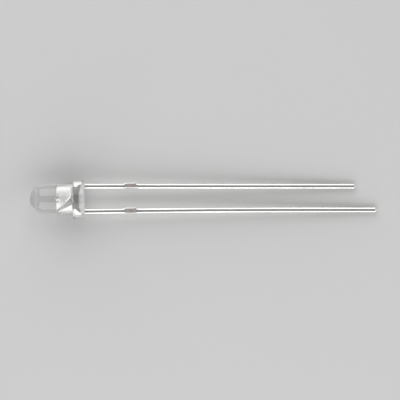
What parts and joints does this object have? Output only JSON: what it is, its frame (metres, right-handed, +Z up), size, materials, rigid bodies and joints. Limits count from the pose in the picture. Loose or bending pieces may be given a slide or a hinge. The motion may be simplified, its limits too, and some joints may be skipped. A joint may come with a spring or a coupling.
{
  "type": "through-hole led",
  "caption": "Small clear through-hole lamp with a round-nosed lens, a flange with a flat, and straight unequal leads.",
  "frame": {"origin": "centre of the rim under the flange, where the lamp seats on a board", "axes": "+Z up, with the lamp lying at rest on its flange rim and its two lead tips; +X from the lens towards the lead tips, with the leads falling by 3.5 degrees; +Y on the cathode side"},
  "size_m": [0.0347, 0.0038, 0.0041],
  "materials": {
    "lens": "clear cast epoxy, glossy",
    "leads": "bright tin over iron, silver at the cup",
    "chip": "polished semiconductor",
    "adhesive": "silver-filled epoxy",
    "wire": "bright gold"
  },
  "bodies": {
    "root": {"epoxy_body": "lens", "cathode_lead": "leads", "anode_lead": "leads", "led_die": "chip", "die_attach": "adhesive", "bond_wire": "wire"}
  },
  "joints": []
}
